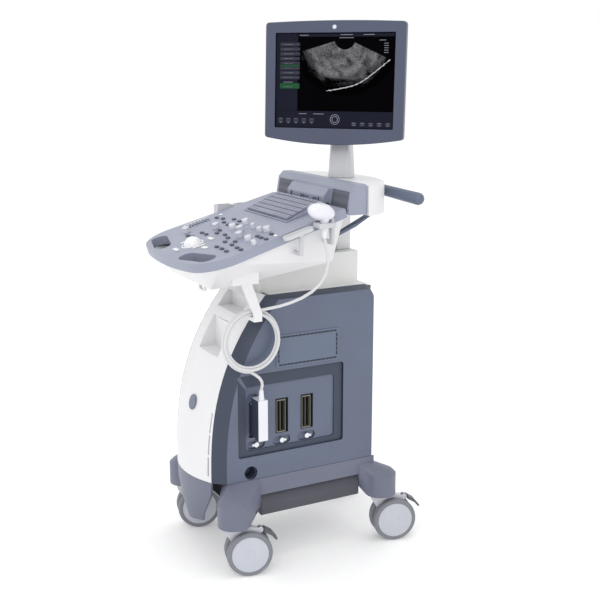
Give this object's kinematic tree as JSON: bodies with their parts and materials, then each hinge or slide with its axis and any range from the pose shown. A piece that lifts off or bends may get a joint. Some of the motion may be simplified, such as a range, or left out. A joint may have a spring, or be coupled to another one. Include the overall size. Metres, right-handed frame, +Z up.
{
  "type": "ultrasound scanner",
  "caption": "Cart ultrasound scanner: slate body on casters, sloped console with keyboard and trackball, turning monitor, and a probe on a coiled lead.",
  "frame": {"origin": "on the floor under the middle of the body shell", "axes": "+X towards the side with the probe and its connectors, -Y towards the operator, +Z up"},
  "size_m": [0.501, 0.6933, 1.4513],
  "materials": {
    "shell": "satin slate moulding",
    "white": "satin white moulding",
    "console": "fine-textured blue-grey",
    "keys": "satin lavender",
    "dark_keys": "satin dark",
    "silver": "silver finish",
    "lever": "polished",
    "ball": "polished white",
    "grille": "dark",
    "rail": "dark moulding with a grey lower face",
    "metal": "plain sheet metal",
    "port": "khaki-grey with metal shells",
    "plate": "dark blue blank plates",
    "black": "black",
    "board": "green laminate",
    "holder": "grey holders",
    "probe": "white",
    "lead": "white jacket",
    "column": "satin silver",
    "bezel": "dark slate",
    "screen": "dark display",
    "fork": "light grey",
    "wheel": "grey tyre round a light disc",
    "pedal": "dark grey"
  },
  "bodies": {
    "cart": {"base_skirt": "shell", "side_cover_right": "shell", "side_cover_left": "shell", "rear_cover": "shell", "connector_panel": "shell", "rear_handles": "shell", "front_cover": "white", "neck_cover": "white", "console_tray": "white", "rear_housing": "white", "cable_hangers": "white", "console_deck": "console", "keyboard_base": "console", "speaker_bar": "console", "speakers": "grille", "vent_inserts": "grille", "foot_rails": "rail", "chassis_frame": "metal", "card_cage": "metal", "power_supply": "metal", "cover_screws": "metal", "port_sockets": "port", "blank_plates": "plate", "power_inlet": "black", "console_board": "board", "probe_holders": "holder", "probe": "probe", "probe_plug": "probe", "probe_lead": "lead", "lead_coil": "lead"},
    "fan": {"fan_rotor": "black"},
    "mains_rocker": {"mains_switch": "black"},
    "keyboard": {"keyboard_keys": "keys"},
    "panel_keys": {"deck_keys": "dark_keys"},
    "sliders": {"gain_sliders": "silver"},
    "ball": {"trackball": "ball"},
    "column": {"column_post": "column"},
    "monitor": {"monitor_bezel": "bezel", "monitor_back": "bezel", "lcd_panel": "screen", "monitor_board": "board"},
    "knob_1_body": {"knob_1": "silver"},
    "caster_1": {"caster_fork_1": "fork"},
    "wheels_1": {"wheel_set_1": "wheel"},
    "pedal_1": {"brake_pedal_1": "pedal"},
    "knob_2_body": {"knob_2": "silver"},
    "caster_2": {"caster_fork_2": "fork"},
    "wheels_2": {"wheel_set_2": "wheel"},
    "pedal_2": {"brake_pedal_2": "pedal"},
    "knob_3_body": {"knob_3": "silver"},
    "caster_3": {"caster_fork_3": "fork"},
    "wheels_3": {"wheel_set_3": "wheel"},
    "pedal_3": {"brake_pedal_3": "pedal"},
    "knob_4_body": {"knob_4": "silver"},
    "caster_4": {"caster_fork_4": "fork"},
    "wheels_4": {"wheel_set_4": "wheel"},
    "pedal_4": {"brake_pedal_4": "pedal"},
    "lever_1": {"lock_lever_1": "lever"},
    "lever_2": {"lock_lever_2": "lever"},
    "lever_3": {"lock_lever_3": "lever"}
  },
  "joints": [
    {"name": "fan_spin", "type": "hinge", "parent": "cart", "child": "fan", "pos_m": [0.08, 0.215, 0.464], "axis": [0, 1, 0], "continuous": true},
    {"name": "mains_rock", "type": "hinge", "parent": "cart", "child": "mains_rocker", "pos_m": [-0.007, 0.236, 0.306], "axis": [1, 0, 0], "range_deg": [0, 14]},
    {"name": "keyboard_press", "type": "slide", "parent": "cart", "child": "keyboard", "axis": [0, -0.3843, 0.9232], "range_m": [-0.0018, 0], "stiffness_N_per_m": 3000, "springref_m": 0.002},
    {"name": "panel_key_press", "type": "slide", "parent": "cart", "child": "panel_keys", "axis": [0, -0.2689, 0.9632], "range_m": [-0.002, 0], "stiffness_N_per_m": 3000, "springref_m": 0.002},
    {"name": "slider_travel", "type": "slide", "parent": "cart", "child": "sliders", "axis": [1, 0, 0], "range_m": [-0.016, 0.016]},
    {"name": "ball_roll", "type": "hinge", "parent": "cart", "child": "ball", "pos_m": [0, -0.23945, 0.86995], "axis": [1, 0, 0], "continuous": true},
    {"name": "knob_1_turn", "type": "hinge", "parent": "cart", "child": "knob_1_body", "pos_m": [-0.126, -0.20515, 0.88472], "axis": [0, -0.2689, 0.9632], "continuous": true},
    {"name": "knob_2_turn", "type": "hinge", "parent": "cart", "child": "knob_2_body", "pos_m": [-0.057, -0.1464, 0.90112], "axis": [0, -0.2689, 0.9632], "continuous": true},
    {"name": "knob_3_turn", "type": "hinge", "parent": "cart", "child": "knob_3_body", "pos_m": [0.053, -0.12521, 0.90704], "axis": [0, -0.2689, 0.9632], "continuous": true},
    {"name": "knob_4_turn", "type": "hinge", "parent": "cart", "child": "knob_4_body", "pos_m": [0.102, -0.15025, 0.90005], "axis": [0, -0.2689, 0.9632], "continuous": true},
    {"name": "lever_1_swing", "type": "hinge", "parent": "cart", "child": "lever_1", "pos_m": [0.139, -0.129, 0.342], "axis": [1, 0, 0], "range_deg": [0, 180]},
    {"name": "lever_2_swing", "type": "hinge", "parent": "cart", "child": "lever_2", "pos_m": [0.139, -0.052, 0.342], "axis": [1, 0, 0], "range_deg": [-180, 0]},
    {"name": "lever_3_swing", "type": "hinge", "parent": "cart", "child": "lever_3", "pos_m": [0.139, 0.025, 0.342], "axis": [1, 0, 0], "range_deg": [-180, 0]},
    {"name": "column_turn", "type": "hinge", "parent": "cart", "child": "column", "pos_m": [0, 0.213, 1.029], "axis": [0, 0, 1], "range_deg": [-132, 48]},
    {"name": "monitor_tilt", "type": "hinge", "parent": "column", "child": "monitor", "pos_m": [0.00803, 0.20408, 1.285], "axis": [0.7431, 0.6691, 0], "range_deg": [-22, 3]},
    {"name": "swivel_1", "type": "hinge", "parent": "cart", "child": "caster_1", "pos_m": [0.172, -0.211, 0.15], "axis": [0, 0, 1], "continuous": true},
    {"name": "roll_1", "type": "hinge", "parent": "caster_1", "child": "wheels_1", "pos_m": [0.18183, -0.1743, 0.0625], "axis": [0.9659, -0.2588, 0], "continuous": true},
    {"name": "brake_1", "type": "hinge", "parent": "caster_1", "child": "pedal_1", "pos_m": [0.19012, -0.14339, 0.122], "axis": [0.9659, -0.2588, 0], "range_deg": [-12, 0]},
    {"name": "swivel_2", "type": "hinge", "parent": "cart", "child": "caster_2", "pos_m": [0.172, 0.249, 0.15], "axis": [0, 0, 1], "continuous": true},
    {"name": "roll_2", "type": "hinge", "parent": "caster_2", "child": "wheels_2", "pos_m": [0.18183, 0.2857, 0.0625], "axis": [0.9659, -0.2588, 0], "continuous": true},
    {"name": "brake_2", "type": "hinge", "parent": "caster_2", "child": "pedal_2", "pos_m": [0.19012, 0.31661, 0.122], "axis": [0.9659, -0.2588, 0], "range_deg": [-12, 0]},
    {"name": "swivel_3", "type": "hinge", "parent": "cart", "child": "caster_3", "pos_m": [-0.172, 0.249, 0.15], "axis": [0, 0, 1], "continuous": true},
    {"name": "roll_3", "type": "hinge", "parent": "caster_3", "child": "wheels_3", "pos_m": [-0.16217, 0.2857, 0.0625], "axis": [0.9659, -0.2588, 0], "continuous": true},
    {"name": "brake_3", "type": "hinge", "parent": "caster_3", "child": "pedal_3", "pos_m": [-0.15388, 0.31661, 0.122], "axis": [0.9659, -0.2588, 0], "range_deg": [-12, 0]},
    {"name": "swivel_4", "type": "hinge", "parent": "cart", "child": "caster_4", "pos_m": [-0.172, -0.211, 0.15], "axis": [0, 0, 1], "continuous": true},
    {"name": "roll_4", "type": "hinge", "parent": "caster_4", "child": "wheels_4", "pos_m": [-0.16217, -0.1743, 0.0625], "axis": [0.9659, -0.2588, 0], "continuous": true},
    {"name": "brake_4", "type": "hinge", "parent": "caster_4", "child": "pedal_4", "pos_m": [-0.15388, -0.14339, 0.122], "axis": [0.9659, -0.2588, 0], "range_deg": [-12, 0]}
  ]
}
